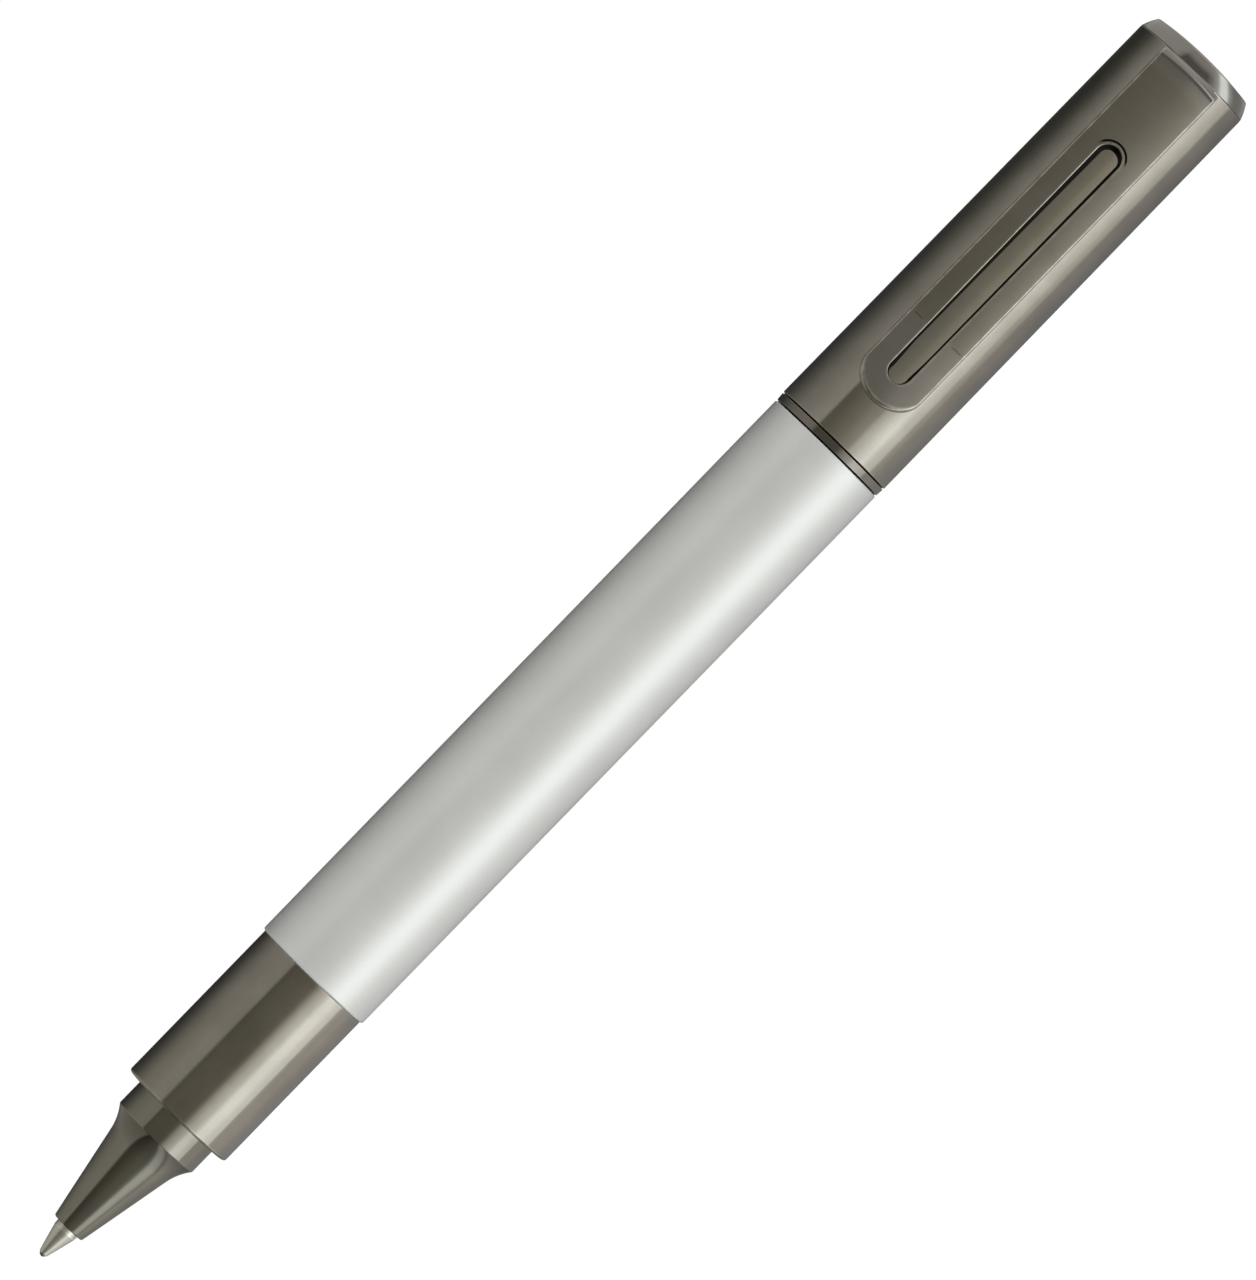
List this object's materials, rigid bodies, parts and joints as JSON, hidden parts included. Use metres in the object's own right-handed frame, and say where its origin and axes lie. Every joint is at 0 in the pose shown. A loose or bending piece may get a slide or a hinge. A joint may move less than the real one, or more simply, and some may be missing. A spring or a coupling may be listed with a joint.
{
  "type": "twist-action ballpoint pen",
  "caption": "Slim metal twist-action ballpoint pen with a stepped conical nose, satin pearl lower barrel, dark plated grip and upper barrel, and a flat slotted pocket clip.",
  "frame": {"origin": "the writing point, where the ball's front end meets the pen's axis, with the point out", "axes": "+X along the pen's axis from the writing point to the tail, +Z from the axis to the pocket clip, +Y completes the right-handed frame"},
  "size_m": [0.144, 0.012, 0.0144],
  "materials": {
    "dark_plate": "polished dark gunmetal plating on brass, soft mirror",
    "dark_plate_clip": "the same dark plating on spring steel, finely brushed flat with bright eased edges",
    "pearl_lacquer": "satin pearl-white lacquer with a fine metallic flake under a clear coat",
    "nickel_silver": "turned nickel silver, bright, with fine turning rings",
    "carbide": "polished carbide ball, dark",
    "refill_steel": "drawn tube, satin",
    "spring_steel": "bright drawn wire",
    "brass": "turned brass",
    "cream_acetal": "moulded acetal, low sheen",
    "black_plastic": "moulded plastic, satin",
    "ink": "thick ballpoint ink, wet gloss",
    "black_rubber": "nitrile rubber, greased"
  },
  "bodies": {
    "lower_barrel": {"nose_cone": "dark_plate", "grip_section": "dark_plate", "front_bush": "brass", "barrel_sleeve": "pearl_lacquer", "rear_bush": "brass", "trim_ring": "dark_plate", "guide_tube": "black_plastic", "friction_ring": "black_rubber", "thrust_washer": "refill_steel", "retaining_ring": "spring_steel", "return_spring": "spring_steel"},
    "upper_barrel": {"cam_sleeve": "brass", "upper_barrel": "dark_plate", "end_plug": "black_plastic", "clip_root": "dark_plate_clip", "crown": "dark_plate", "crown_screw": "refill_steel", "lock_washer": "spring_steel"},
    "plunger": {"plunger": "cream_acetal", "cross_pin": "refill_steel"},
    "refill": {"refill_point": "nickel_silver", "refill_adapter": "refill_steel", "refill_tube": "refill_steel", "refill_plug": "black_plastic", "ink_column": "ink"},
    "clip": {"clip_arm": "dark_plate_clip"},
    "ball": {"writing_ball": "carbide"}
  },
  "joints": [
    {"name": "barrel_twist", "type": "hinge", "parent": "lower_barrel", "child": "upper_barrel", "pos_m": [0.109, 0, 0], "axis": [1, 0, 0], "range_deg": [0, 160]},
    {"name": "plunger_slide", "type": "slide", "parent": "lower_barrel", "child": "plunger", "axis": [1, 0, 0], "range_m": [0, 0.00541]},
    {"name": "refill_slide", "type": "slide", "parent": "lower_barrel", "child": "refill", "axis": [1, 0, 0], "range_m": [0, 0.0054], "deforming": ["return_spring"]},
    {"name": "clip_spring", "type": "hinge", "parent": "upper_barrel", "child": "clip", "pos_m": [0.1385, 0, 0.0083], "axis": [0, 1, 0], "range_deg": [0, 4], "stiffness_Nm_per_rad": 0.2},
    {"name": "ball_roll", "type": "hinge", "parent": "refill", "child": "ball", "pos_m": [0.00035, 0, 0], "axis": [0, 1, 0], "continuous": true}
  ],
  "couplings": [
    {"joint": "plunger_slide", "follows": "refill_slide", "ratio": 1},
    {"joint": "barrel_twist", "follows": "refill_slide", "rad_per_m": 517.13}
  ]
}
